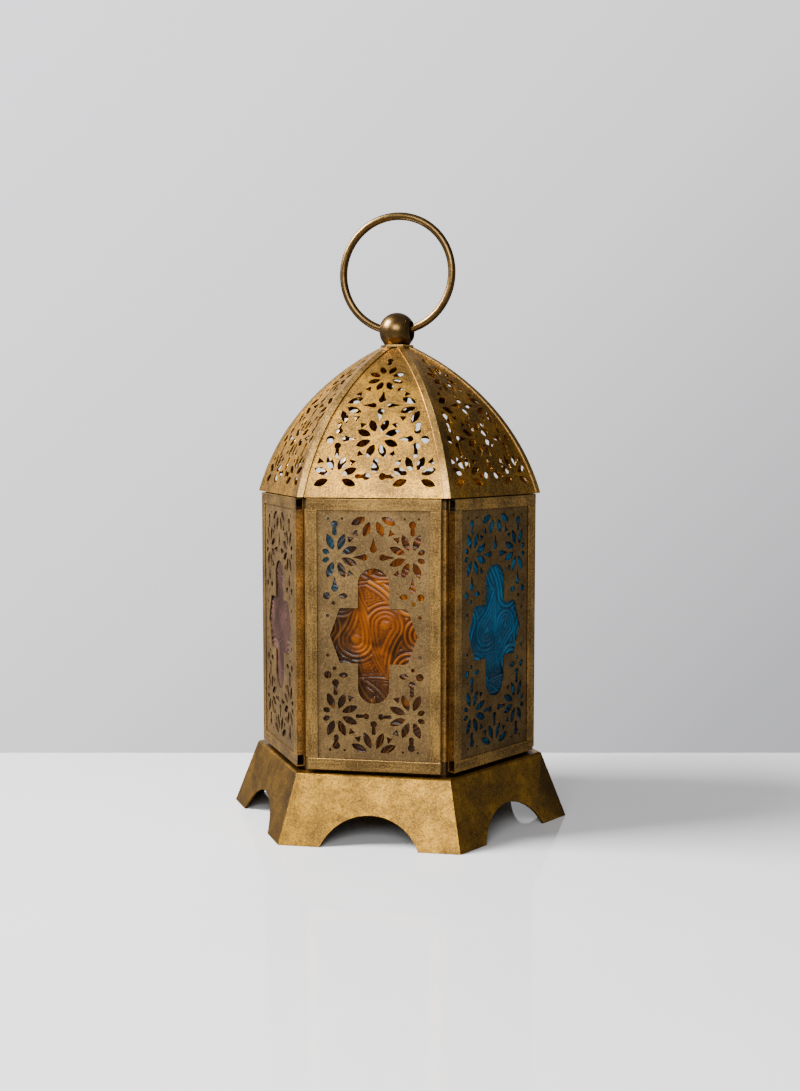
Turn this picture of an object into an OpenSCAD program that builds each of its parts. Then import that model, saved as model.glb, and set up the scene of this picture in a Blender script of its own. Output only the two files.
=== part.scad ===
// Hexagonal candle lantern: flared base, six framed filigree panels with coloured
// glass, a ribbed dome of six pierced gores, a ball finial and a carry ring.
// Origin at the middle of the footprint, +Z up, front panel facing -Y.

/* [Body] */
// Distance from the centre line to the outer face of a side panel
panel_apothem = 52; // [51:0.5:54]
// Width of one framed panel
panel_w = 53; // [52:0.5:54]
// Height of one framed panel
panel_h = 107; // [106:0.5:112]
// Width of the upright strips of a panel frame
side_strip = 4.1; // [3.8:0.1:4.3]
// Width of the top and bottom strips of a panel frame
end_strip = 4.5; // [4:0.1:4.6]
// Depth of a panel frame from front to back
frame_depth = 3.5; // [3.4:0.1:4]
// Thickness of the frame strips and the filigree sheets
sheet_t = 0.5; // [0.4:0.05:0.5]
// Open slot between the deck and the lower edge of the panels
panel_lift = 1.4; // [1.2:0.1:2]

/* [Base] */
// Height of the base
base_h = 26.8; // [25:0.2:30]
// Distance from the centre line to the foot line of a base panel
foot_apothem = 62.5; // [61:0.5:66]
// Distance from the centre line to the shoulder of a base panel
shoulder_apothem = 53.2; // [53:0.1:54]
// Thickness of the base sheet
base_t = 0.8; // [0.6:0.1:1]
// Radius of the arch cut in each base panel
arch_r = 21; // [18:0.5:22]
// How far the centre of the arch lies below the foot line
arch_drop = 8; // [6:0.5:10]

/* [Roof] */
// Distance from the centre line to the eave of a gore
eave_apothem = 51.8; // [51:0.1:52.5]
// Radius of the curve that a gore follows from eave to apex
roof_r = 95; // [93:1:97]
// Angle of that curve at the eave, 0 is upright
eave_angle = 14; // [13:0.5:15]
// Angle of that curve at the apex
apex_angle = 61; // [60:0.5:61]
// Thickness of the gores
roof_t = 0.6; // [0.5:0.05:0.8]
// Width of each leg of the strips that cover the ridges
rib_w = 2.1; // [1.6:0.1:2.4]
// Thickness of the ridge strips
rib_t = 0.45; // [0.3:0.05:0.6]

/* [Finial and ring] */
// Radius of the finial ball
ball_r = 7.6; // [7.4:0.1:8.2]
// Radius of the cross hole that the ring runs through
ring_hole_r = 4; // [3.8:0.1:4.2]
// Radius of the carry ring, measured to the middle of its wire
ring_r = 23.6; // [22:0.2:26]
// Radius of the ring's wire
wire_r = 1.6; // [1.4:0.1:1.8]
// Turn of the ball about the upright axis at rest
finial_turn = -7; // [-30:1:30]

/* [Candle cup] */
// Inside radius of the cup that holds a tealight
cup_r = 20; // [19.6:0.1:20.4]
// Height of the cup
cup_h = 12; // [10:0.5:14]

/* [Door] */
// Gap that the door keeps from the posts and rails behind it
door_gap = 0.3; // [0.3:0.05:0.4]
// Height of the lower hinge above the floor
low_hinge_z = 47; // [42:1:55]
// Height of the upper hinge above the floor
high_hinge_z = 116; // [106:1:120]
// Height of the turn button above the floor
latch_z = 97; // [90:1:105]
// Height of the pull knob above the floor
pull_z = 82; // [60:1:84]

/* [Hidden] */
$fn = 64;
door_side = 3;
hinge_side = 2;
seam = 0.06;
// Longer than anything that they cut or cover
through = 40;
reach = 90;
tall = 300;

// Levels, from the floor up
deck_z = base_h;
floor_z = deck_z + base_t;
panel_z0 = deck_z + panel_lift;
panel_z1 = panel_z0 + panel_h;
panel_mid = (panel_z0 + panel_z1) / 2;
eave_z = panel_z1 + 0.5;

// Framework behind the panels
back_apothem = panel_apothem - frame_depth;
post_t = 0.8;
post_leg = 6;
rail_h = 4.8;
rail_flange = 5;
half_tan = tan(30);
post_z0 = floor_z + rail_h;
post_z1 = eave_z - rail_h;

// Candle cup
cup_t = 0.5;
cup_lip = 0.6;

// Panel contents
sheet_lap = 1.4;
glass_lap = 1.0;
sheet_w = panel_w - 2 * side_strip + 2 * sheet_lap;
sheet_h = panel_h - 2 * end_strip + 2 * sheet_lap;
glass_w = panel_w - 2 * side_strip + 2 * glass_lap;
glass_h = panel_h - 2 * end_strip + 2 * glass_lap;

// Curve of the roof: centre of the arc in distance from the axis and height
arc_x = eave_apothem - roof_r * cos(eave_angle);
arc_z = eave_z - roof_r * sin(eave_angle);
apex_z = arc_z + roof_r * sin(apex_angle);

// Finial: the plate lies on the upper ends of the ridge strips
running = 0.05;
plate_z = apex_z + rib_t * sin(apex_angle);
plate_t = 0.8;
plate_r = 7;
foot_r = 5.3;
foot_z = plate_z + plate_t + running;
ball_z = foot_z + 5.85;
stud_r = 1.6;
nut_h = 3;

// Hinges, on the upright corner between the door and the rear right panel
hinge_heights = [low_hinge_z, high_hinge_z];
pin_radius = (panel_apothem + 0.3) / cos(30);
knuckle_r = 1.5;
pin_r = 0.7;
leaf_h = 14;
knuckle_h = 4.6;
leaf_t = 0.5;
rivet_r = 0.7;
rivet_head_r = 1.3;
rivet_inset = 1.55;
rivet_pitch = 9;

// Turn button, on the upright corner between the door and the rear left panel
button_gap = 0.37;
button_t = 0.8;
button_w = 4.4;
button_l = 14;
pivot_r = 0.95;
groove_radius = panel_apothem * cos(30) + panel_w / 2 * sin(30);
button_radius = groove_radius + button_gap;

BRASS = [0.70, 0.55, 0.31];
PALE_BRASS = [0.80, 0.66, 0.40];
DULL_BRASS = [0.52, 0.44, 0.31];
DARK_BRASS = [0.28, 0.22, 0.14];
STEEL = [0.45, 0.44, 0.42];
AMBER = [0.80, 0.42, 0.05, 0.6];
BLUE = [0.05, 0.38, 0.62, 0.6];
VIOLET = [0.45, 0.25, 0.38, 0.6];

// ---------- placing ----------

// Turns a piece drawn on the front side to another side
module on_side(side) {
    rotate([0, 0, 60 * side]) children();
}

// Draws a piece and its mirror image across the middle of the front side
module both_hands() {
    children();
    mirror([1, 0, 0]) children();
}

// Draws a piece on the right edge of the front side and again across the corner
module both_corner_legs() {
    children();
    mirror([cos(30), sin(30), 0]) children();
}

// Panel frame of reference: x across, y up from the panel's middle, z outward
module on_panel(depth = 0) {
    translate([0, -panel_apothem + depth, panel_mid]) rotate([90, 0, 0]) children();
}

// Sweeps an outline of (distance from axis, height) across the front side
module across(width) {
    rotate([90, 0, -90]) linear_extrude(width, center = true) children();
}

// The sixth of the plan that the front side owns, less half a seam at each edge
module side_wedge(gap) {
    translate([0, 0, -1])
        linear_extrude(tall)
            polygon([
                [0, -gap],
                [reach * half_tan, -gap - reach],
                [-reach * half_tan, -gap - reach]
            ]);
}

// Frame of reference of an upright corner: x outward, z up
module on_corner(corner) {
    rotate([0, 0, -60 + 60 * corner]) children();
}

// Points of an arc
function arc_points(centre, r, from, to, steps) = [
    for (k = [0:steps])
        let (a = from + (to - from) * k / steps)
        centre + r * [cos(a), sin(a)]
];

// Points that round off one corner of an outline
function rounded_corner(before, corner, after, r, steps = 4) =
    let (
        u = (before - corner) / norm(before - corner),
        v = (after - corner) / norm(after - corner),
        half = acos(u * v) / 2,
        reach = r / tan(half),
        middle = corner + (u + v) / norm(u + v) * r / sin(half),
        start = corner + u * reach - middle,
        a0 = atan2(start[1], start[0]),
        turn = cross(-u, v) > 0 ? 180 - 2 * half : 2 * half - 180
    )
    arc_points(middle, r, a0, a0 + turn, steps);

// An outline with every corner rounded off
function rounded_outline(points, r) = [
    for (i = [0:len(points) - 1])
        each rounded_corner(
            points[(i + len(points) - 1) % len(points)],
            points[i],
            points[(i + 1) % len(points)],
            r
        )
];

// ---------- ornament, drawn flat ----------

// Angles of the petals of a full rosette
eight = [for (k = [0:7]) 22.5 + 45 * k];

// Pointed petal that runs out along x from r0 to r1
module petal(r0, r1, w) {
    half_l = (r1 - r0) / 2;
    r = (half_l * half_l + w * w / 4) / w;
    translate([(r0 + r1) / 2, 0])
        intersection() {
            translate([0, w / 2 - r]) circle(r);
            translate([0, r - w / 2]) circle(r);
        }
}

module rosette(angles, r0, r1, w) {
    for (a = angles) rotate(a) petal(r0, r1, w);
}

// Round head at the origin and a point at distance l
module drop(head, l, turn) {
    root = head * 0.9;
    rotate(turn) {
        circle(head);
        polygon([[0, root], [l, 0], [0, -root]]);
    }
}

// Round head at the origin and a slim blunt tail that ends at distance l
module keyhole(head, l, turn) {
    tail = head * 0.68;
    root = tail * 0.75;
    rotate(turn) {
        circle(head);
        translate([l - tail, 0]) circle(tail);
        polygon([[0, root], [l - tail, tail * 0.9], [l - tail, -tail * 0.9], [0, -root]]);
    }
}

module triangle(size, turn) {
    rotate(turn) polygon([
        [size * 0.62, 0], [-size * 0.31, size * 0.55], [-size * 0.31, -size * 0.55]
    ]);
}

// ---------- base ----------

module base_outline() {
    bend = 1.3;
    slope = atan2(foot_apothem - shoulder_apothem, base_h);
    // The bend touches both the deck and the slanted face
    bend_x = shoulder_apothem - bend * tan((90 - slope) / 2);
    flange_w = 9;
    flange_x = shoulder_apothem - flange_w;
    wall = base_t / cos(slope);
    polygon(concat(
        [[flange_x, deck_z - base_t], [flange_x, deck_z]],
        arc_points([bend_x, deck_z - bend], bend, 90, slope, 6),
        [[foot_apothem, 0], [foot_apothem - wall, 0]],
        arc_points([bend_x, deck_z - bend], bend - base_t, slope, 90, 6)
    ));
}

// Flared panel with a round arch, its foot on the floor
module base_panel() {
    slope = atan2(foot_apothem - shoulder_apothem, base_h);
    arch_cut = 12;
    color(BRASS)
        difference() {
            intersection() {
                across(2 * reach) base_outline();
                side_wedge(seam);
            }
            translate([0, -foot_apothem, 0])
                rotate([90 - slope, 0, 0])
                    translate([0, -arch_drop, 0])
                        cylinder(r = arch_r, h = arch_cut, center = true, $fn = 96);
        }
}

// ---------- floor and candle cup ----------

// Hexagon with flats facing -Y and +Y
module hexagon(apothem) {
    circle(apothem / cos(30), $fn = 6);
}

module floor_plate() {
    color(DARK_BRASS)
        translate([0, 0, deck_z]) linear_extrude(base_t) hexagon(back_apothem);
}

// Round cup with a rolled lip, soldered to the floor plate
module candle_cup() {
    lip_z = cup_h - cup_lip;
    color(BRASS)
        translate([0, 0, floor_z])
            rotate_extrude($fn = 96)
                union() {
                    polygon([
                        [0, 0], [cup_r + cup_t, 0], [cup_r + cup_t, lip_z],
                        [cup_r, lip_z], [cup_r, cup_t], [0, cup_t]
                    ]);
                    translate([cup_r + cup_lip, lip_z]) circle(cup_lip, $fn = 32);
                }
}

// ---------- framework ----------

// Hexagonal angle ring: an upright wall and a flange that points inward
module rail(z0, flange_z) {
    color(DARK_BRASS)
        difference() {
            translate([0, 0, z0])
                linear_extrude(rail_h) hexagon(back_apothem);
            difference() {
                translate([0, 0, z0 - 1])
                    linear_extrude(rail_h + 2) hexagon(back_apothem - post_t);
                translate([0, 0, flange_z])
                    linear_extrude(post_t) hexagon(back_apothem);
            }
            translate([0, 0, z0 - 1])
                linear_extrude(rail_h + 2) hexagon(back_apothem - rail_flange);
        }
}

module bottom_rail() {
    rail(floor_z, floor_z);
}

module top_rail() {
    rail(eave_z - rail_h, eave_z - post_t);
}

// Mirror image of a point across the upright plane through the right corner
function across_corner(p) = p - 2 * (p * [cos(30), sin(30)]) * [cos(30), sin(30)];

// Angle strip that stands behind the edges of two panels
module corner_post(drilled = false) {
    inner = back_apothem - post_t;
    toe_x = back_apothem * half_tan - post_leg;
    outer_toe = [toe_x, -back_apothem];
    inner_toe = [toe_x, -inner];
    color(DARK_BRASS)
        difference() {
            translate([0, 0, post_z0])
                linear_extrude(post_z1 - post_z0)
                    polygon([
                        outer_toe,
                        [back_apothem * half_tan, -back_apothem],
                        across_corner(outer_toe),
                        across_corner(inner_toe),
                        [inner * half_tan, -inner],
                        inner_toe
                    ]);
            if (drilled)
                on_corner(0)
                    translate([through, 0, latch_z])
                        rotate([0, 90, 0]) cylinder(r = pivot_r, h = through, $fn = 32);
        }
}

// ---------- panels ----------

// Folded strip: front lip, edge wall and back lip, drawn with its edge at x = 0
module strip_outline(w, depth) {
    translate([-w, -sheet_t]) square([w, sheet_t]);
    translate([-sheet_t, -depth]) square([sheet_t, depth]);
    translate([-w, -depth]) square([w, sheet_t]);
}

// Four folded strips round the panel, butted at the corners
module panel_frame(depth, drill = 0) {
    joint = 0.05;
    side_l = panel_h - 2 * end_strip - 2 * joint;
    color(BRASS)
        on_panel() {
            difference() {
                both_hands()
                    translate([panel_w / 2, side_l / 2, 0])
                        rotate([90, 0, 0])
                            linear_extrude(side_l) strip_outline(side_strip, depth);
                if (drill != 0) rivet_row(drill) cylinder(r = rivet_r, h = 3, center = true, $fn = 24);
                if (drill == -1) pull_place() cylinder(r = rivet_r, h = 3, center = true, $fn = 24);
            }
            for (end = [0, 1])
                mirror([0, end, 0])
                    translate([-panel_w / 2, panel_h / 2, 0])
                        rotate([90, 0, 90])
                            linear_extrude(panel_w) strip_outline(end_strip, depth);
        }
}

// Outline of the window in the middle of a filigree sheet
module medallion() {
    lobe_w = 6.2;
    lobe_end = 20.4;
    translate([-lobe_w, -lobe_end]) square([2 * lobe_w, 2 * lobe_end]);
    for (end = [-1, 1]) translate([0, end * lobe_end]) circle(lobe_w);
    polygon(rounded_outline([
        [17.4, 0], [13.4, 10.9], [-13.4, 10.9],
        [-17.4, 0], [-13.4, -10.9], [13.4, -10.9]
    ], 0.8));
}

// Ornament of a panel, right half: it is mirrored to the left
module panel_ornament() {
    rosette_x = 14.9;
    rosette_y = 31.3;
    long_petals = [67.5, 112.5, 157.5, 202.5, 247.5, 292.5];
    short_petals = [22.5, 337.5];
    triangles = [
        [9.3, 37.8, 45], [7, 40.2, 225], [9.3, 24.5, 315],
        [9.3, -24.7, 45], [8.9, -38, 315], [6.2, -40.7, 135]
    ];
    dots = [
        [18.7, 15.5, 1.4], [15.9, 12.8, 0.8], [18.3, 7.7, 0.7],
        [18.3, -7.9, 0.7], [15.6, -13, 0.8], [18.3, -15.7, 1.5],
        [17.9, 45.8, 0.5], [12.4, 45.8, 0.5], [17.5, -45.5, 0.5], [11.6, -45.5, 0.5]
    ];
    for (up = [-1, 1])
        translate([rosette_x, up * rosette_y]) {
            rosette(long_petals, 2.5, 9.2, 2.9);
            rosette(short_petals, 2.8, 5.8, 2.1);
        }
    translate([0, 48]) rosette([-27, -67], 3.6, 9.9, 2.9);
    translate([0, -47]) rosette([25, 67], 2.8, 9.8, 2.9);
    translate([15.4, 43.6]) keyhole(1.4, 4.4, -90);
    translate([15.4, 18.6]) drop(1.4, 4.6, 90);
    translate([3.6, 30.8]) drop(1.3, 5, 0);
    translate([3, -31.7]) keyhole(1.2, 4.2, 0);
    translate([15.2, -18.7]) keyhole(1.4, 5, -90);
    translate([15, -43.7]) keyhole(1.5, 4.4, 90);
    for (side = [-1, 1]) translate([12, side * 15.6]) petal(-1.9, 1.9, 2.2);
    for (t = triangles) translate([t[0], t[1]]) triangle(2.6, t[2]);
    for (d = dots) translate([d[0], d[1]]) circle(d[2], $fn = 24);
}

// Ornament on the middle line of a panel
module panel_middle_ornament() {
    translate([0, 34]) drop(1.4, 4.7, 90);
    translate([0, -34.7]) keyhole(1.3, 4.4, -90);
    medallion();
}

module filigree_sheet() {
    color(DULL_BRASS)
        on_panel(sheet_t)
            translate([0, 0, -sheet_t])
                linear_extrude(sheet_t)
                    difference() {
                        square([sheet_w, sheet_h], center = true);
                        both_hands() panel_ornament();
                        panel_middle_ornament();
                    }
}

module glass_pane(depth, tint) {
    thickness = depth - 3 * sheet_t;
    color(tint)
        on_panel(2 * sheet_t)
            translate([-glass_w / 2, -glass_h / 2, -thickness])
                cube([glass_w, glass_h, thickness]);
}

// ---------- roof ----------

// Frame of reference on a gore: x across, y up the curve, z outward,
// at a given distance across and length up the curve from the eave
module on_gore(x, climb) {
    a = eave_angle + climb / roof_r * 180 / PI;
    translate([x, -arc_x - roof_r * cos(a), arc_z + roof_r * sin(a)])
        rotate([90 - a, 0, 0]) children();
}

module gore_cut(x, climb) {
    on_gore(x, climb) linear_extrude(5, center = true) children();
}

// Slice of the roof's curve between two radii, from eave to apex
module roof_slice(inner, outer) {
    far = 2 * roof_r;
    middle_angle = (eave_angle + apex_angle) / 2;
    translate([arc_x, arc_z])
        intersection() {
            difference() {
                circle(outer, $fn = 360);
                circle(inner, $fn = 360);
            }
            polygon([
                [0, 0],
                far * [cos(eave_angle), sin(eave_angle)],
                far * [cos(middle_angle), sin(middle_angle)],
                far * [cos(apex_angle), sin(apex_angle)]
            ]);
        }
}

// Ornament of a gore, right half
module gore_ornament() {
    low_petals = [22.5, 67.5, 112.5, 157.5, 202.5, 337.5];
    side_petals = [157.5, 202.5, 247.5];
    triangles = [
        [6.5, 30.7, 45], [6.5, 17.9, 315], [6.3, 48.9, 0], [9.6, 46.1, 0],
        [9.3, 33.9, 270], [9.1, 14.4, 45], [22, 14.8, 315]
    ];
    gore_cut(15.6, 8.3) rosette(low_petals, 2.9, 9.1, 3);
    gore_cut(16.6, 40.3) rosette(side_petals, 3, 9.6, 3);
    gore_cut(3.3, 40.2) drop(1.3, 4.8, 0);
    gore_cut(15.6, 28) keyhole(1.4, 4, 90);
    gore_cut(15.6, 21.3) keyhole(1.4, 5, -90);
    gore_cut(12.9, 24.4) drop(1.4, 4.8, 180);
    gore_cut(18.8, 24.1) circle(1.7);
    gore_cut(3.2, 8.5) keyhole(1.5, 4.6, 0);
    for (t = triangles) gore_cut(t[0], t[1]) triangle(2.7, t[2]);
}

// Ornament on the middle line of a gore
module gore_middle_ornament() {
    gore_cut(0, 24.75) rosette(eight, 3, 9, 3.1);
    gore_cut(0, 55.3) rosette(eight, 2.6, 7.7, 2.7);
    gore_cut(0, 67.2) keyhole(1.3, 3.6, -90);
    gore_cut(0, 43) drop(1.5, 4.8, 90);
    gore_cut(0, 37.3) drop(1.4, 4.9, -90);
    gore_cut(0, 12) keyhole(1.7, 3.9, 90);
}

// Pierced and curved roof panel with a narrow flange at the eave
module gore() {
    flange_w = 7;
    fold = 0.3;
    color(BRASS)
        difference() {
            intersection() {
                across(2 * reach) {
                    roof_slice(roof_r - roof_t, roof_r);
                    translate([eave_apothem - flange_w, eave_z]) square([flange_w - fold, roof_t]);
                }
                side_wedge(seam);
            }
            both_hands() gore_ornament();
            gore_middle_ornament();
        }
}

// Strip that covers the ridge between two gores. Its legs overlap a little at the
// ridge, so that they make one piece
module ridge_rib() {
    edge = rib_w / cos(30);
    overlap = 0.06;
    color(PALE_BRASS)
        both_corner_legs()
            intersection() {
                across(2 * reach) roof_slice(roof_r, roof_r + rib_t);
                linear_extrude(tall)
                    polygon([
                        [overlap, 0],
                        [reach * half_tan + overlap, -reach],
                        [reach * half_tan - edge, -reach],
                        [0, -edge / half_tan]
                    ]);
            }
}

module apex_plate() {
    color(PALE_BRASS)
        translate([0, 0, plate_z])
            difference() {
                cylinder(r = plate_r, h = plate_t, $fn = 6);
                cylinder(r = stud_r, h = through, center = true, $fn = 32);
            }
}

// ---------- finial and ring ----------

module finial_ball() {
    neck_drop = 4.7;
    neck_z = ball_z - neck_drop;
    neck_r = sqrt(ball_r * ball_r - neck_drop * neck_drop);
    color(PALE_BRASS)
        difference() {
            rotate_extrude($fn = 96)
                difference() {
                    union() {
                        intersection() {
                            translate([0, ball_z]) circle(ball_r);
                            translate([0, neck_z]) square(through);
                        }
                        polygon([[0, foot_z], [foot_r, foot_z], [neck_r, neck_z], [0, neck_z]]);
                    }
                    translate([-through, 0]) square([through, tall]);
                }
            translate([0, 0, ball_z])
                rotate([0, 90, finial_turn])
                    cylinder(r = ring_hole_r, h = through, center = true);
            translate([0, 0, ball_z - through]) cylinder(r = stud_r + running, h = through);
        }
}

// Headed stud that the ball turns on
module finial_stud() {
    head_r = 2.3;
    head_t = 0.8;
    // The head lies in the cross hole, just clear of its curved floor
    head_z = ball_z - sqrt(ring_hole_r * ring_hole_r - head_r * head_r) + 2 * running;
    tail_z = plate_z - nut_h - 1.4;
    color(STEEL)
        rotate_extrude()
            polygon([
                [0, tail_z], [stud_r, tail_z], [stud_r, head_z],
                [head_r, head_z], [head_r, head_z + head_t], [0, head_z + head_t]
            ]);
}

module finial_nut() {
    color(STEEL)
        translate([0, 0, plate_z - nut_h])
            difference() {
                cylinder(r = 4, h = nut_h, $fn = 6);
                cylinder(r = stud_r, h = through, center = true);
            }
}

// Closed wire ring, threaded through the ball
module carry_ring() {
    color(BRASS)
        translate([0, 0, ball_z + ring_r])
            rotate([90, 0, finial_turn])
                rotate_extrude($fn = 128) translate([ring_r, 0]) circle(wire_r, $fn = 48);
}

// ---------- door furniture ----------

// Places along the hinge edge of a panel where rivets hold the leaves
module rivet_row(hand) {
    for (z = hinge_heights, step = [-0.5, 0.5])
        translate([
            hand * (panel_w / 2 - rivet_inset),
            z + step * rivet_pitch - panel_mid,
            0
        ]) children();
}

// Place of the pull knob, on the free edge of the door
module pull_place() {
    translate([panel_w / 2 - rivet_inset, pull_z - panel_mid, 0]) children();
}

// One leaf on the door's outer face with its knuckles at the given heights
module hinge_leaf(knuckles, bore) {
    pin_x = pin_radius * sin(30);
    leaf_x = panel_w / 2 - side_strip + 0.3;
    for (z = hinge_heights)
        translate([0, 0, z])
            difference() {
                union() {
                    translate([leaf_x, -panel_apothem - leaf_t, -leaf_h / 2])
                        cube([panel_w / 2 - leaf_x + 0.4, leaf_t, leaf_h]);
                    for (k = knuckles)
                        translate([0, 0, k]) {
                            translate([pin_x, -pin_radius * cos(30), -knuckle_h / 2])
                                cylinder(r = knuckle_r, h = knuckle_h);
                            translate([panel_w / 2, -panel_apothem - leaf_t, -knuckle_h / 2])
                                cube([pin_x - panel_w / 2, leaf_t, knuckle_h]);
                        }
                }
                translate([pin_x, -pin_radius * cos(30), -leaf_h])
                    cylinder(r = bore, h = 2 * leaf_h);
                for (step = [-0.5, 0.5])
                    translate([panel_w / 2 - rivet_inset, -panel_apothem - 2, step * rivet_pitch])
                        rotate([-90, 0, 0]) cylinder(r = rivet_r, h = 4, $fn = 24);
            }
}

// The leaves that stay with the body carry the outer knuckles
module hinge_post_leaves() {
    step = knuckle_h + 0.1;
    color(BRASS) on_side(hinge_side) hinge_leaf([-step, step], pin_r);
}

module hinge_door_leaves() {
    color(BRASS)
        on_side(door_side) mirror([1, 0, 0]) hinge_leaf([0], pin_r + running);
}

module hinge_pins() {
    head = 0.6;
    color(STEEL)
        on_corner(hinge_side)
            for (z = hinge_heights)
                translate([pin_radius, 0, z - leaf_h / 2 - head]) {
                    cylinder(r = pin_r, h = leaf_h + 2 * head);
                    cylinder(r = 1.1, h = head);
                    translate([0, 0, leaf_h + head]) cylinder(r = 1.1, h = head);
                }
}

// Rivet with a domed head outside and a flat tail behind the lip
module leaf_rivet() {
    rotate_extrude($fn = 32)
        polygon([
            [0, -2 * sheet_t], [1, -2 * sheet_t], [1, -sheet_t], [rivet_r, -sheet_t],
            [rivet_r, leaf_t], [rivet_head_r, leaf_t],
            [rivet_head_r * 0.8, leaf_t + 0.4], [0, leaf_t + 0.6]
        ]);
}

module hinge_post_rivets() {
    color(PALE_BRASS) on_side(hinge_side) on_panel() rivet_row(1) leaf_rivet();
}

module hinge_door_rivets() {
    color(PALE_BRASS) on_side(door_side) on_panel() rivet_row(-1) leaf_rivet();
}

// Flat propeller-shaped button that turns across the edge of the door
module turn_button() {
    tip_r = 1.5;
    arm = button_l / 2 - tip_r;
    color(BRASS)
        on_corner(door_side)
            translate([button_radius, 0, latch_z])
                rotate([0, 90, 0])
                    linear_extrude(button_t)
                        difference() {
                            union() {
                                circle(button_w / 2);
                                for (end = [-1, 1]) translate([end * arm, 0]) circle(tip_r);
                                translate([-arm, -tip_r]) square([2 * arm, 2 * tip_r]);
                            }
                            circle(pivot_r + running);
                        }
}

// Shouldered rivet through the corner post
module button_pivot() {
    outer = back_apothem / cos(30);
    inner = (back_apothem - post_t) / cos(30) - 1.1;
    color(PALE_BRASS)
        on_corner(door_side)
            translate([0, 0, latch_z])
                rotate([0, 90, 0])
                    rotate_extrude($fn = 48)
                        polygon([
                            [0, inner - 0.8], [1.8, inner - 0.8], [1.8, inner],
                            [pivot_r, inner], [pivot_r, outer], [1.6, outer],
                            [1.6, button_radius - running], [pivot_r, button_radius - running],
                            [pivot_r, button_radius + button_t + running],
                            [2, button_radius + button_t + running],
                            [1.6, button_radius + button_t + 0.6],
                            [0, button_radius + button_t + 0.8]
                        ]);
}

// Small turned knob riveted to the free edge of the door
module door_pull() {
    color(PALE_BRASS)
        on_side(door_side) on_panel() pull_place()
            rotate_extrude($fn = 48)
                polygon(concat(
                    [
                        [0, -2 * sheet_t], [1, -2 * sheet_t], [1, -sheet_t],
                        [rivet_r, -sheet_t], [rivet_r, 0], [1.5, 0], [1.5, 0.5], [0.9, 1.2], [0.9, 2.2]
                    ],
                    arc_points([0, 4], 2, -60, 90, 12)
                ));
}

// ---------- the lantern ----------

on_side(0) base_panel();  // base_front
on_side(1) base_panel();  // base_front_right
on_side(2) base_panel();  // base_rear_right
on_side(3) base_panel();  // base_rear
on_side(4) base_panel();  // base_rear_left
on_side(5) base_panel();  // base_front_left
floor_plate();
candle_cup();
bottom_rail();
top_rail();
on_side(0) corner_post();  // post_front_right
on_side(1) corner_post();  // post_right
on_side(2) corner_post();  // post_rear_right
on_side(3) corner_post(drilled = true);  // post_rear_left
on_side(4) corner_post();  // post_left
on_side(5) corner_post();  // post_front_left
on_side(0) panel_frame(frame_depth);  // frame_front
on_side(1) panel_frame(frame_depth);  // frame_front_right
on_side(2) panel_frame(frame_depth, 1);  // frame_rear_right
on_side(3) panel_frame(frame_depth - door_gap, -1);  // door_frame
on_side(4) panel_frame(frame_depth);  // frame_rear_left
on_side(5) panel_frame(frame_depth);  // frame_front_left
on_side(0) filigree_sheet();  // filigree_front
on_side(1) filigree_sheet();  // filigree_front_right
on_side(2) filigree_sheet();  // filigree_rear_right
on_side(3) filigree_sheet();  // door_filigree
on_side(4) filigree_sheet();  // filigree_rear_left
on_side(5) filigree_sheet();  // filigree_front_left
on_side(0) glass_pane(frame_depth, AMBER);  // glass_front
on_side(1) glass_pane(frame_depth, BLUE);  // glass_front_right
on_side(2) glass_pane(frame_depth, VIOLET);  // glass_rear_right
on_side(3) glass_pane(frame_depth - door_gap, AMBER);  // door_glass
on_side(4) glass_pane(frame_depth, BLUE);  // glass_rear_left
on_side(5) glass_pane(frame_depth, VIOLET);  // glass_front_left
on_side(0) gore();  // gore_front
on_side(1) gore();  // gore_front_right
on_side(2) gore();  // gore_rear_right
on_side(3) gore();  // gore_rear
on_side(4) gore();  // gore_rear_left
on_side(5) gore();  // gore_front_left
on_side(0) ridge_rib();  // rib_front_right
on_side(1) ridge_rib();  // rib_right
on_side(2) ridge_rib();  // rib_rear_right
on_side(3) ridge_rib();  // rib_rear_left
on_side(4) ridge_rib();  // rib_left
on_side(5) ridge_rib();  // rib_front_left
apex_plate();
finial_ball();
finial_stud();
finial_nut();
carry_ring();
hinge_post_leaves();
hinge_door_leaves();
hinge_pins();
hinge_post_rivets();
hinge_door_rivets();
turn_button();
button_pivot();
door_pull();
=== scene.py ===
import math

import bpy
import numpy as np
from mathutils import Matrix, Vector


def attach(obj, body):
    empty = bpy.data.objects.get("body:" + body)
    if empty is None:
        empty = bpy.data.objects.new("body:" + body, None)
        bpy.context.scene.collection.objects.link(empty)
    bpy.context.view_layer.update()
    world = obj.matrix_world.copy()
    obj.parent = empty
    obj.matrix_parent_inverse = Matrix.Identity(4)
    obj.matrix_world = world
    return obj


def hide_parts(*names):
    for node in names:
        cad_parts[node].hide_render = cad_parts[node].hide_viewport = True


# A pierced brass candle lantern with pressed glass, standing on a glossy table.
# Everything is in metres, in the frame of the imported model: +Z up, front panel facing -Y.

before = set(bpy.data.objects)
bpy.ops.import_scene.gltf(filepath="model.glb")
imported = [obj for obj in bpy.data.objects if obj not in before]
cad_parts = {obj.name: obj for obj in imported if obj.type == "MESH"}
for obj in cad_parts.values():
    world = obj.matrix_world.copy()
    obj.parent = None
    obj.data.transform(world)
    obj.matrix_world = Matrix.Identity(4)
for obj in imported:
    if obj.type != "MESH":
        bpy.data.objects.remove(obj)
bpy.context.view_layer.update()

MM = 0.001
SIDES = 6
SIDE_TURN = math.tau / SIDES
# Heights between which only the upright strips of a panel frame run
FRAME_OPENING = (0.0345, 0.1235)

# Mesh attributes that carry the pressed pattern of the glass to its material
RELIEF = "relief"
TINT = "tint"

PATTERN_SEED = 11

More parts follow.
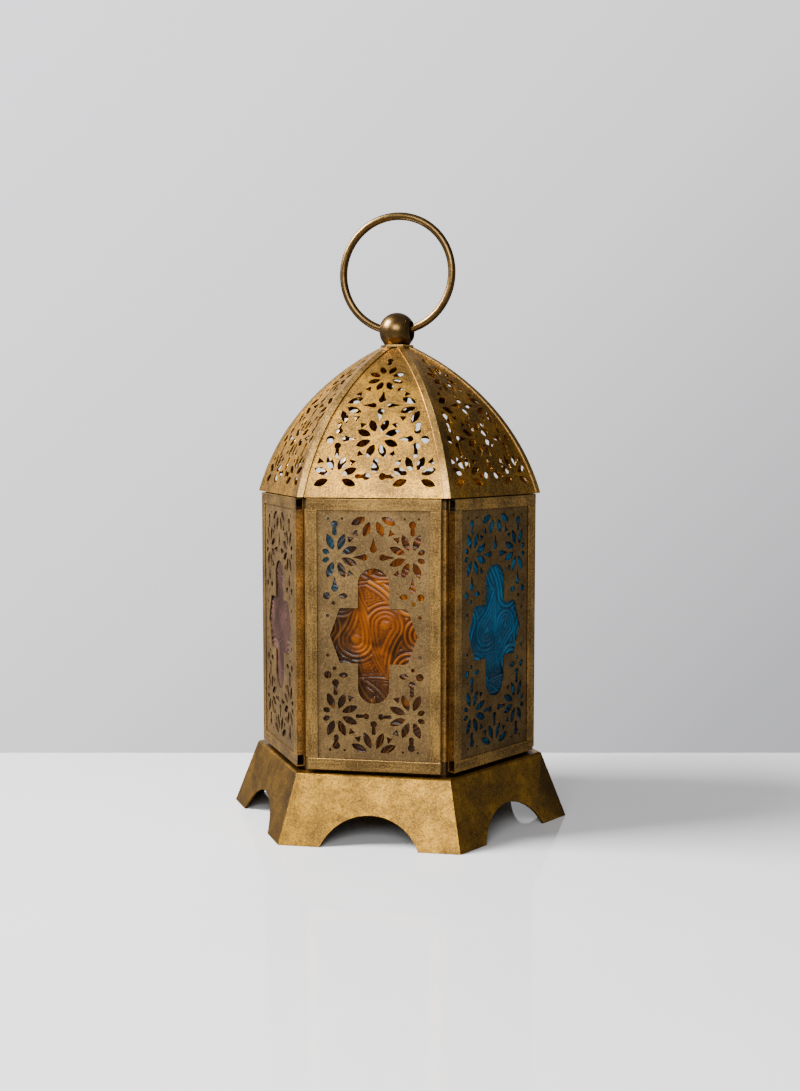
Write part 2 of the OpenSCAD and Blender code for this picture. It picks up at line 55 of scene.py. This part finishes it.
# Sockets of the Mix node when it blends colours
MIX_FACTOR, MIX_FIRST, MIX_SECOND, MIX_RESULT = 0, 6, 7, 2


# ---------- camera, table and light ----------

CAMERA_PLACE = Vector((0.1054, -0.5792, 0.1630))
CAMERA_PITCH = math.radians(4.863)
CAMERA_YAW = math.radians(10.197)
CAMERA_LENS = 46.03

# What the lights face
LANTERN_MIDDLE = Vector((0, 0, 0.12))


def make_camera():
    data = bpy.data.cameras.new("camera")
    data.sensor_width = 36
    data.lens = CAMERA_LENS
    data.clip_start = 0.01
    data.clip_end = 50
    camera = bpy.data.objects.new("camera", data)
    camera.location = CAMERA_PLACE
    camera.rotation_euler = (math.radians(90) - CAMERA_PITCH, 0, CAMERA_YAW)
    bpy.context.scene.collection.objects.link(camera)
    bpy.context.scene.camera = camera


def from_camera_side(across, along, height):
    """A place given across and along the camera's level direction, measured from the lantern's axis."""
    turn = Matrix.Rotation(CAMERA_YAW, 4, "Z")
    return turn @ Vector((across, along, height))


def new_object(name, mesh):
    made = bpy.data.objects.new(name, mesh)
    bpy.context.scene.collection.objects.link(made)
    return made


def make_table():
    """A large glossy table whose far edge lies a little behind the lantern."""
    near, far, half_width = -3.0, 0.100, 3.0
    corners = [(-half_width, near), (half_width, near), (half_width, far), (-half_width, far)]
    mesh = bpy.data.meshes.new("table")
    mesh.from_pydata([from_camera_side(x, y, 0) for x, y in corners], [], [(0, 1, 2, 3)])
    table = new_object("table", mesh)
    table.data.materials.append(table_gloss())


def softbox(name, across, along, height, size, power):
    """A rectangular light that faces the middle of the lantern."""
    data = bpy.data.lights.new(name, "AREA")
    data.shape = "RECTANGLE"
    data.size, data.size_y = size
    data.energy = power
    light = bpy.data.objects.new(name, data)
    light.location = from_camera_side(across, along, height)
    aim = LANTERN_MIDDLE - light.location
    light.rotation_euler = aim.to_track_quat("-Z", "Y").to_euler()
    bpy.context.scene.collection.objects.link(light)


def make_lights():
    softbox("key", -0.98, -0.12, 0.95, (0.55, 0.55), 66)
    softbox("front_top", -0.20, -1.15, 0.66, (0.8, 0.45), 11)
    softbox("left_fill", -1.2, 0.45, 0.25, (0.8, 0.8), 0.4)
    softbox("right_fill", 1.1, 0.10, 0.10, (0.5, 0.8), 0.45)


def around(tree, direction, axis, narrow, wide):
    """1 towards an axis and 0 away from it, with a soft edge between two cosines."""
    dot = tree.nodes.new("ShaderNodeVectorMath")
    dot.operation = "DOT_PRODUCT"
    dot.inputs[1].default_value = Vector(axis).normalized()
    tree.links.new(direction, dot.inputs[0])
    edge = tree.nodes.new("ShaderNodeMapRange")
    edge.interpolation_type = "SMOOTHSTEP"
    edge.inputs["From Min"].default_value = wide
    edge.inputs["From Max"].default_value = narrow
    tree.links.new(dot.outputs["Value"], edge.inputs["Value"])
    return edge.outputs[0]


def make_world():
    """Grey studio: the wall behind the table, and for the light a room with a dark drape on the right."""
    world = bpy.data.worlds.new("studio")
    world.use_nodes = True
    bpy.context.scene.world = world
    tree = world.node_tree
    tree.nodes.clear()
    add, link = tree.nodes.new, tree.links.new
    out = add("ShaderNodeOutputWorld")
    seen = add("ShaderNodeBackground")
    felt = add("ShaderNodeBackground")
    choose = add("ShaderNodeMixShader")
    path = add("ShaderNodeLightPath")
    direction = add("ShaderNodeTexCoord").outputs["Generated"]
    drape_side, wall_side = (0.93, 0.36, 0.0), (-0.10, 0.99, 0.10)
    drape = around(tree, direction, drape_side, 0.92, 0.35)
    room = add("ShaderNodeValToRGB")
    set_ramp(room, [(0.0, (0.22, 0.22, 0.225)), (1.0, (0.06, 0.06, 0.06))])
    link(drape, room.inputs[0])
    # The lit wall, as the brass and the table mirror it
    lit = around(tree, direction, wall_side, 0.96, 0.86)
    backed = add("ShaderNodeMix")
    backed.data_type = "RGBA"
    backed.inputs[MIX_SECOND].default_value = (0.95, 0.95, 0.98, 1)
    link(lit, backed.inputs[MIX_FACTOR])
    link(room.outputs[0], backed.inputs[MIX_FIRST])
    # The wall behind the table darkens to the right and towards the table: painted shade on the backdrop
    fall = add("ShaderNodeVectorMath")
    fall.operation = "DOT_PRODUCT"
    fall.inputs[1].default_value = (0.9, 0.0, -0.9)
    link(direction, fall.inputs[0])
    spread = add("ShaderNodeMapRange")
    spread.inputs["From Min"].default_value = -0.6
    spread.inputs["From Max"].default_value = 0.5
    link(fall.outputs["Value"], spread.inputs["Value"])
    wall = add("ShaderNodeValToRGB")
    set_ramp(wall, [
        (0.00, (1.70, 1.70, 1.78)), (0.20, (1.48, 1.48, 1.54)), (0.41, (1.26, 1.26, 1.30)),
        (0.59, (0.93, 0.92, 0.96)), (0.76, (0.65, 0.65, 0.68)), (1.00, (0.50, 0.50, 0.52)),
    ])
    link(spread.outputs[0], wall.inputs[0])
    link(backed.outputs[MIX_RESULT], felt.inputs["Color"])
    link(wall.outputs[0], seen.inputs["Color"])
    link(path.outputs["Is Camera Ray"], choose.inputs[0])
    link(felt.outputs[0], choose.inputs[1])
    link(seen.outputs[0], choose.inputs[2])
    link(choose.outputs[0], out.inputs[0])


# ---------- material tools ----------

def set_ramp(ramp, stops):
    """Gives a colour ramp these (position, colour) stops."""
    elements = ramp.color_ramp.elements
    while len(elements) > 1:
        elements.remove(elements[-1])
    elements[0].position, elements[0].color = stops[0][0], (*stops[0][1], 1)
    for place, colour in stops[1:]:
        elements.new(place).color = (*colour, 1)


class Recipe:
    """A material under construction: its nodes, its links and the Principled shader."""

    def __init__(self, name):
        self.material = bpy.data.materials.new(name)
        self.material.use_nodes = True
        tree = self.material.node_tree
        self.nodes, self.links = tree.nodes, tree.links
        self.shader = tree.nodes["Principled BSDF"]
        self.place = self.add("ShaderNodeTexCoord").outputs["Object"]

    def add(self, kind):
        return self.nodes.new(kind)

    def join(self, source, target):
        self.links.new(source, target)

    def stretched(self, scale, turn=(0, 0, 0)):
        """Object coordinates scaled differently along each axis."""
        mapping = self.add("ShaderNodeMapping")
        mapping.inputs["Scale"].default_value = scale
        mapping.inputs["Rotation"].default_value = turn
        self.join(self.place, mapping.inputs["Vector"])
        return mapping.outputs[0]

    def noise(self, scale, detail=3.0, rough=0.55, place=None, distortion=0.0):
        made = self.add("ShaderNodeTexNoise")
        made.inputs["Scale"].default_value = scale
        made.inputs["Detail"].default_value = detail
        made.inputs["Roughness"].default_value = rough
        made.inputs["Distortion"].default_value = distortion
        self.join(place or self.place, made.inputs["Vector"])
        return made.outputs["Fac"]

    def band(self, value, low, high, to_low=0.0, to_high=1.0):
        """Maps a value smoothly from one range to another, clamped."""
        made = self.add("ShaderNodeMapRange")
        made.interpolation_type = "SMOOTHSTEP"
        made.inputs["From Min"].default_value = low
        made.inputs["From Max"].default_value = high
        made.inputs["To Min"].default_value = to_low
        made.inputs["To Max"].default_value = to_high
        self.join(value, made.inputs["Value"])
        return made.outputs[0]

    def ramp(self, value, stops):
        made = self.add("ShaderNodeValToRGB")
        set_ramp(made, stops)
        self.join(value, made.inputs[0])
        return made.outputs[0]

    def mix(self, factor, first, second):
        """Blends two colours; either may be a socket or a plain colour."""
        made = self.add("ShaderNodeMix")
        made.data_type = "RGBA"
        for value, socket in ((factor, MIX_FACTOR), (first, MIX_FIRST), (second, MIX_SECOND)):
            if isinstance(value, bpy.types.NodeSocket):
                self.join(value, made.inputs[socket])
            elif socket == MIX_FACTOR:
                made.inputs[socket].default_value = value
            else:
                made.inputs[socket].default_value = (*value, 1)
        return made.outputs[MIX_RESULT]

    def calc(self, how, first, second):
        made = self.add("ShaderNodeMath")
        made.operation = how
        for value, socket in ((first, 0), (second, 1)):
            if isinstance(value, bpy.types.NodeSocket):
                self.join(value, made.inputs[socket])
            else:
                made.inputs[socket].default_value = value
        return made.outputs[0]

    def crevice_dirt_and_shade(self, reach):
        """1 in corners and under edges, 0 in the open, found by ambient occlusion: it marks painted shade
        along with dirt.
        """
        made = self.add("ShaderNodeAmbientOcclusion")
        made.samples = 6
        made.inputs["Distance"].default_value = reach
        return self.band(made.outputs["AO"], 0.35, 0.95, 1.0, 0.0)

    def rim(self, reach):
        """1 along sharp outer edges, 0 on flat faces."""
        rounded = self.add("ShaderNodeBevel")
        rounded.samples = 4
        rounded.inputs["Radius"].default_value = reach
        true = self.add("ShaderNodeNewGeometry")
        dot = self.add("ShaderNodeVectorMath")
        dot.operation = "DOT_PRODUCT"
        self.join(rounded.outputs[0], dot.inputs[0])
        self.join(true.outputs["True Normal"], dot.inputs[1])
        return self.band(dot.outputs["Value"], 0.99, 0.90)

    def bump(self, height, distance, strength=1.0, below=None):
        made = self.add("ShaderNodeBump")
        made.inputs["Strength"].default_value = strength
        made.inputs["Distance"].default_value = distance
        self.join(height, made.inputs["Height"])
        if below is not None:
            self.join(below, made.inputs["Normal"])
        return made.outputs[0]


def aged_brass(name, light, middle, dark, patina_and_shade, roughness, speck, edge_wear_and_highlight, brushed=None, grit=1.0):
    """Brass under old lacquer: cloudy tone, fine grain, dark specks, dirt with painted shade in the
    corners, bright edges that are part wear and part painted highlight.

    brushed gives the heights between which the brush lines run upright; above and below they run level.
    """
    r = Recipe(name)
    clouds = r.noise(85, 4, 0.6)
    grain = r.noise(1500, 3, 0.8)
    blotches = r.noise(420, 5, 0.8)
    tone = r.ramp(clouds, [(0.34, dark), (0.50, middle), (0.64, light)])
    if brushed is not None:
        height = r.add("ShaderNodeSeparateXYZ")
        r.join(r.place, height.inputs[0])
        low, high = brushed
        upright = r.noise(1.0, 5, 0.65, place=r.stretched((900, 900, 40)))
        level = r.noise(1.0, 5, 0.65, place=r.stretched((40, 40, 900)))
        below = r.band(height.outputs["Z"], low + MM, low)
        above = r.band(height.outputs["Z"], high, high + MM)
        beyond = r.calc("MAXIMUM", below, above)
        lines = r.calc("ADD", upright, r.calc("MULTIPLY", beyond, r.calc("SUBTRACT", level, upright)))
        tone = r.mix(r.band(lines, 0.50, 0.66, 0.0, 0.7), tone, dark)
        tone = r.mix(r.band(lines, 0.50, 0.34, 0.0, 0.55), tone, light)
    tone = r.mix(r.band(grain, 0.49, 0.60, 0.0, 0.9 * grit), tone, dark)
    tone = r.mix(r.band(grain, 0.48, 0.38, 0.0, 0.8 * grit), tone, light)
    tone = r.mix(r.calc("MULTIPLY", r.band(blotches, 0.52, 0.68), speck), tone, patina_and_shade)
    # Painted shade with dirt: corners and places under edges are darkened towards the patina colour
    corners = r.crevice_dirt_and_shade(2.2 * MM)
    tone = r.mix(r.calc("MULTIPLY", corners, 0.8), tone, patina_and_shade)
    # Edges are lightened: rubbed wear, and in part a painted highlight along the edges
    rubbed_and_highlit_edges = r.calc("MULTIPLY", r.rim(0.5 * MM), r.band(blotches, 0.65, 0.40, 0.0, edge_wear_and_highlight))
    tone = r.mix(rubbed_and_highlit_edges, tone, light)
    r.join(tone, r.shader.inputs["Base Color"])
    r.shader.inputs["Metallic"].default_value = 1.0
    low, high = roughness
    r.join(r.band(blotches, 0.3, 0.7, low, high), r.shader.inputs["Roughness"])
    uneven = r.bump(clouds, 0.30 * MM, 0.5)
    fine = r.bump(grain, 0.05 * MM, 0.8 * grit, below=uneven)
    r.join(fine, r.shader.inputs["Normal"])
    return r.material


def pressed_glass(name, body, deep, bright, stain=None):
    """Tinted pressed glass: each leaf of the pattern has its own depth of colour, the grooves have painted
    shade and the ridges a painted highlight, and the lower part has painted shade, as no light comes in
    behind it. A stain is a second tint at the left edge."""
    r = Recipe(name)
    clouds = r.noise(45, 4, 0.6, distortion=0.8)
    fine = r.noise(900, 2, 0.6)
    pressed = r.add("ShaderNodeAttribute")
    pressed.attribute_name = RELIEF
    depth = r.add("ShaderNodeAttribute")
    depth.attribute_name = TINT
    place = r.add("ShaderNodeSeparateXYZ")
    r.join(r.place, place.inputs[0])
    leaf_share, cloud_share = 0.65, 0.35
    leaf_shade = r.calc("MULTIPLY", depth.outputs["Fac"], leaf_share)
    shade = r.calc("ADD", leaf_shade, r.band(clouds, 0.35, 0.65, 0.0, cloud_share))
    tone = r.ramp(shade, [(0.10, deep), (0.50, body), (0.90, bright)])
    wander = r.calc("MULTIPLY", r.calc("SUBTRACT", clouds, 0.5), 0.03)
    # Painted shade: darker towards the bottom, where no light comes in behind the glass
    unlit_from, unlit_to = 0.078, 0.050
    painted_shade_low_down = r.band(r.calc("ADD", place.outputs["Z"], wander), unlit_from, unlit_to)
    tone = r.mix(r.calc("MULTIPLY", painted_shade_low_down, 0.92), tone, deep)
    if stain is not None:
        dark_from, stain_from, stain_full = -0.003, -0.010, -0.015
        stain_foot, stain_top = 0.095, 0.100
        sideways = r.calc("ADD", place.outputs["X"], wander)
        tone = r.mix(r.band(sideways, dark_from, stain_from, 0.0, 0.9), tone, deep)
        upper = r.band(place.outputs["Z"], stain_foot, stain_top)
        stained = r.calc("MULTIPLY", r.band(sideways, stain_from, stain_full), upper)
        tone = r.mix(stained, tone, stain)
    # Painted shade in the grooves and a painted highlight on the ridges of the relief
    tone = r.mix(r.band(pressed.outputs["Fac"], 0.50, 0.05, 0.0, 0.7), tone, deep)
    tone = r.mix(r.band(pressed.outputs["Fac"], 0.70, 1.0, 0.0, 0.25), tone, bright)
    r.join(tone, r.shader.inputs["Base Color"])
    r.shader.inputs["Transmission Weight"].default_value = 0.40
    r.shader.inputs["IOR"].default_value = 1.5
    r.shader.inputs["Specular IOR Level"].default_value = 0.12
    r.join(r.band(clouds, 0.3, 0.7, 0.20, 0.34), r.shader.inputs["Roughness"])
    r.join(r.bump(fine, 0.03 * MM, 0.5), r.shader.inputs["Normal"])
    return r.material


def plain_steel():
    r = Recipe("zinc_steel")
    cloud = r.noise(500, 4, 0.6)
    grey = r.ramp(cloud, [(0.35, (0.22, 0.21, 0.20)), (0.65, (0.48, 0.47, 0.45))])
    r.join(grey, r.shader.inputs["Base Color"])
    r.shader.inputs["Metallic"].default_value = 1.0
    r.join(r.band(cloud, 0.3, 0.7, 0.30, 0.55), r.shader.inputs["Roughness"])
    r.join(r.bump(cloud, 0.02 * MM, 0.5), r.shader.inputs["Normal"])
    return r.material


def table_gloss():
    """White gloss that throws little light back up, so that the brass keeps its depth."""
    r = Recipe("white_gloss")
    haze = r.noise(9, 3, 0.5)
    white = r.ramp(haze, [(0.3, (0.86, 0.86, 0.87)), (0.7, (0.90, 0.90, 0.91))])
    seen = r.add("ShaderNodeLightPath").outputs["Is Camera Ray"]
    thrown_back = (0.12, 0.12, 0.12)
    r.join(r.mix(seen, thrown_back, white), r.shader.inputs["Base Color"])
    r.join(r.band(haze, 0.3, 0.7, 0.03, 0.06), r.shader.inputs["Roughness"])
    return r.material


# ---------- sheet metal ----------

def nodes_named(*starts):
    return [o for n, o in sorted(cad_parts.items()) if n.startswith(starts)]


def wear(pieces, material):
    for piece in pieces:
        piece.data.materials.clear()
        piece.data.materials.append(material)


def soften_edges(pieces, width):
    """Rounds the sharp edges a little, so that they catch the light as rolled sheet does."""
    for piece in pieces:
        weld = piece.modifiers.new("weld", "WELD")
        weld.merge_threshold = 0.002 * MM
        bevel = piece.modifiers.new("edges", "BEVEL")
        bevel.width = width
        bevel.segments = 2
        bevel.limit_method = "ANGLE"
        bevel.angle_limit = math.radians(32)
        bevel.miter_outer = "MITER_ARC"
        bevel.use_clamp_overlap = True


def dress_metal():
    base = aged_brass(
        "base_brass", roughness=(0.30, 0.46), speck=0.5, edge_wear_and_highlight=0.9, grit=0.8,
        light=(0.46, 0.235, 0.030), middle=(0.26, 0.134, 0.021),
        dark=(0.15, 0.082, 0.022), patina_and_shade=(0.06, 0.035, 0.017),
    )
    strips = aged_brass(
        "frame_brass", roughness=(0.30, 0.46), speck=0.5, edge_wear_and_highlight=0.9, brushed=FRAME_OPENING,
        light=(0.82, 0.47, 0.13), middle=(0.46, 0.268, 0.085),
        dark=(0.22, 0.13, 0.046), patina_and_shade=(0.07, 0.04, 0.014),
    )
    sheet = aged_brass(
        "filigree_brass", roughness=(0.42, 0.58), speck=0.5, edge_wear_and_highlight=0.3,
        light=(0.42, 0.26, 0.100), middle=(0.285, 0.177, 0.072),
        dark=(0.19, 0.12, 0.052), patina_and_shade=(0.08, 0.045, 0.02),
    )
    roof = aged_brass(
        "roof_brass", roughness=(0.34, 0.48), speck=0.4, edge_wear_and_highlight=0.5,
        light=(0.90, 0.45, 0.060), middle=(0.46, 0.245, 0.052),
        dark=(0.21, 0.122, 0.040), patina_and_shade=(0.11, 0.06, 0.02),
    )
    rib = aged_brass(
        "rib_brass", roughness=(0.28, 0.42), speck=0.4, edge_wear_and_highlight=0.5,
        light=(0.80, 0.47, 0.13), middle=(0.56, 0.325, 0.09),
        dark=(0.29, 0.17, 0.055), patina_and_shade=(0.12, 0.07, 0.025),
    )
    # Darkened brass for the recessed rails and the floor plate: painted shade, as they sit in the shadow
    # gaps and inside the lantern
    dark = aged_brass(
        "dark_brass", roughness=(0.42, 0.60), speck=0.5, edge_wear_and_highlight=0.2,
        light=(0.22, 0.13, 0.05), middle=(0.15, 0.09, 0.035),
        dark=(0.08, 0.05, 0.02), patina_and_shade=(0.03, 0.02, 0.01),
    )
    fitting = aged_brass(
        "fitting_brass", roughness=(0.28, 0.42), speck=0.4, edge_wear_and_highlight=0.4, grit=0.5,
        light=(0.62, 0.40, 0.16), middle=(0.48, 0.30, 0.12),
        dark=(0.30, 0.18, 0.07), patina_and_shade=(0.09, 0.05, 0.02),
    )
    ring = aged_brass(
        "ring_brass", roughness=(0.24, 0.36), speck=0.3, edge_wear_and_highlight=0.0, grit=0.25,
        light=(0.25, 0.146, 0.048), middle=(0.175, 0.102, 0.035),
        dark=(0.13, 0.076, 0.028), patina_and_shade=(0.05, 0.028, 0.012),
    )
    wear(nodes_named("base_"), base)
    wear(nodes_named("frame_", "door_frame", "post_"), strips)
    wear(nodes_named("filigree_", "door_filigree"), sheet)
    wear(nodes_named("gore_"), roof)
    wear(nodes_named("rib_", "apex_plate"), rib)
    # The rails and the floor plate get the darkened brass: painted shade
    wear(nodes_named("bottom_rail", "top_rail", "floor_plate"), dark)
    wear(nodes_named("candle_cup", "hinge_", "turn_button", "button_pivot", "door_pull"), fitting)
    wear(nodes_named("finial_ball", "carry_ring"), ring)
    wear(nodes_named("finial_stud", "finial_nut", "hinge_pins"), plain_steel())
    soften_edges(nodes_named("base_"), 0.22 * MM)
    soften_edges(nodes_named("frame_", "door_frame"), 0.14 * MM)
    soften_edges(nodes_named("apex_plate", "post_"), 0.10 * MM)


# ---------- pressed glass ----------

def pane_frame(node):
    """Middle, directions (across, up, outward) and half sizes of a flat CAD pane."""
    points = np.array([v.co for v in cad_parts[node].data.vertices], float)
    middle = (points.min(0) + points.max(0)) / 2
    side = round((math.atan2(middle[1], middle[0]) + math.pi / 2) / SIDE_TURN)
    a = side * SIDE_TURN - math.pi / 2
    outward = np.array([math.cos(a), math.sin(a), 0])
    across = np.array([-math.sin(a), math.cos(a), 0])
    up = np.array([0, 0, 1.0])
    from_middle = points - middle
    half = [abs(from_middle @ d).max() for d in (across, up, outward)]
    return middle, (across, up, outward), half


def ridge(distance, place, width):
    """A rounded ridge of height 1 that runs at one distance from an outline."""
    return np.exp(-(((distance - place) / width) ** 2))


def leaf_distance(u, v, leaf):
    """Distance outside (+) or inside (-) a curled leaf, and the place (x, y) as seen from its head."""
    along_u, along_v, head, length, turn, curl = leaf
    x = (u - along_u) * math.cos(turn) + (v - along_v) * math.sin(turn)
    y = -(u - along_u) * math.sin(turn) + (v - along_v) * math.cos(turn)
    share = np.clip(x / length, 0, 1)
    y = y - curl * head * share**2
    half_width = head * (1 - share) ** 0.7
    beyond = np.maximum(x - length, 0)
    from_head = np.hypot(x, y) - head
    aside = np.abs(y) - half_width
    outside = np.where(x < 0, from_head, np.hypot(np.maximum(aside, 0), beyond))
    inside = np.where(x < 0, from_head, aside)
    return np.where(outside > 0, outside, inside), x, y


def leaf_places(random):
    """Leaves in pairs, head to tail, on a staggered grid that covers a pane."""
    across_step, up_step, stray = 25, 21, 2
    lead, lead_turn = 6.5, 2.4
    slenderness, curl = 2.5, 1.2
    leaves = []
    for row in range(-3, 4):
        for column in range(-2, 3):
            offset = across_step / 2 if row % 2 else 0
            middle_u = column * across_step + offset + random.uniform(-stray, stray)
            middle_v = row * up_step + random.uniform(-stray, stray)
            turn = math.radians(random.uniform(35, 75)) * (-1 if row % 2 else 1)
            for half in (0, math.pi):
                head_u = middle_u + lead * math.cos(turn + half + lead_turn)
                head_v = middle_v + lead * math.sin(turn + half + lead_turn)
                size = random.uniform(6.0, 8.0)
                leaves.append((head_u, head_v, size, size * slenderness, turn + half, curl))
    return leaves


def paisley_relief(u, v, seed):
    """Height and depth of tint, from 0 to 1, of a pressed pattern of curled leaves, with ribs along their
    outlines and beads between them. u and v are in millimetres."""
    random = np.random.RandomState(seed)
    leaves = leaf_places(random)
    shades = random.uniform(0.15, 1.0, len(leaves))
    nearest = np.full(u.shape, 1e9)
    height, tint = np.zeros(u.shape), np.zeros(u.shape)
    bead, arc, eye_radius = 1.6, 2.0, 2.0
    outer_rib, second_rib, inner_rib, beads_from, eye_from = 0.8, 2.5, 4.2, 3.2, 5.6
    gap_rib, gap_beads_from, gap_tint = 1.2, 2.2, 0.35
    for number, leaf in enumerate(leaves):
        distance, x, y = leaf_distance(u, v, leaf)
        beads = 0.30 + 0.30 * np.cos(x * math.tau / bead) * np.cos(y * math.tau / bead)
        depth = -distance
        ribs = ridge(depth, outer_rib, 0.6) + 0.85 * ridge(depth, second_rib, 0.55)
        # Every third leaf is filled with arcs, the others have an eye among beads
        if number % 3:
            eye = 0.45 + 0.55 * np.sqrt(np.clip(1 - (x**2 + y**2) / eye_radius**2, 0, 1))
            ribs = ribs + 0.8 * ridge(depth, inner_rib, 0.7)
            filling = np.where(depth > eye_from, eye, np.where(depth > beads_from, beads, 0))
            within = np.maximum(ribs, filling)
        else:
            within = 0.5 + 0.5 * np.cos((depth - outer_rib) * math.tau / arc)
        gap_beads = np.where(distance > gap_beads_from, beads, 0)
        outside = np.maximum(ridge(distance, gap_rib, 0.5) * 0.8, gap_beads)
        local = np.where(distance < 0, within, outside)
        closer = distance < nearest
        nearest = np.where(closer, distance, nearest)
        height = np.where(closer, local, height)
        tint = np.where(closer, np.where(distance < 0, shades[number], gap_tint), tint)
    return np.clip(height, 0, 1), tint


def relief_pane(node, name, seed, material, body):
    """A closed pane with the pressed relief on its outer face, in the place of the CAD slab."""
    relief, step, clear = 0.50, 0.40, 0.02
    middle, (across, up, outward), half = pane_frame(node)
    half_u, half_v, half_w = (h / MM for h in half)
    nu, nv = int(2 * half_u / step), int(2 * half_v / step)
    u, v = np.meshgrid(np.linspace(-half_u, half_u, nu), np.linspace(-half_v, half_v, nv))
    height, tint = paisley_relief(u, v, seed)
    front = half_w - clear - relief * (1 - height)
    surface = np.stack([u, v, front], -1).reshape(-1, 3)
    grid = np.arange(nu * nv).reshape(nv, nu)
    a, b, c, d = grid[:-1, :-1], grid[:-1, 1:], grid[1:, 1:], grid[1:, :-1]
    face = np.stack([a, b, c, d], -1).reshape(-1, 4)
    rim = np.concatenate([grid[0, :], grid[1:, -1], grid[-1, -2::-1], grid[-2:0:-1, 0]])
    behind = surface[rim] * (1, 1, 0) + (0, 0, -half_w)
    below = nu * nv + np.arange(len(rim))
    wall = np.stack([rim, below, np.roll(below, -1), np.roll(rim, -1)], -1)
    quads = np.concatenate([face, wall]).tolist()
    local = np.concatenate([surface, behind]) * MM
    points = middle + local @ np.array([across, up, outward])
    mesh = bpy.data.meshes.new(name)
    mesh.from_pydata(points.tolist(), [], quads + [below[::-1].tolist()])
    mesh.polygons.foreach_set("use_smooth", [True] * len(face) + [False] * (len(wall) + 1))
    for attribute, values in ((RELIEF, height), (TINT, tint)):
        made = mesh.attributes.new(attribute, "FLOAT", "POINT")
        made.data.foreach_set("value", np.concatenate([values.ravel(), np.full(len(rim), 0.5)]))
    mesh.materials.append(material)
    pane = new_object(name, mesh)
    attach(pane, body)
    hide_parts(node)


def make_glass():
    amber = pressed_glass(
        "amber_glass", (0.38, 0.092, 0.003), (0.045, 0.018, 0.004), (0.70, 0.21, 0.004),
        stain=(0.03, 0.10, 0.14),
    )
    blue = pressed_glass("blue_glass", (0.02, 0.18, 0.36), (0.004, 0.035, 0.07), (0.05, 0.38, 0.68))
    violet = pressed_glass("violet_glass", (0.095, 0.044, 0.032), (0.035, 0.017, 0.013), (0.16, 0.08, 0.06))
    panes = [
        ("glass_front", amber, "lantern", "amber_glass"),
        ("glass_front_right", blue, "lantern", "blue_glass"),
        ("glass_rear_right", violet, "lantern", "violet_glass"),
        ("door_glass", amber, "door", "amber_glass"),
        ("glass_rear_left", blue, "lantern", "blue_glass"),
        ("glass_front_left", violet, "lantern", "violet_glass"),
    ]
    for seed, (node, material, body, slot) in enumerate(panes):
        relief_pane(node, "pressed_" + node, PATTERN_SEED + seed, material, body)


# ---------- the picture ----------

make_camera()
make_world()
make_lights()
make_table()
dress_metal()
make_glass()
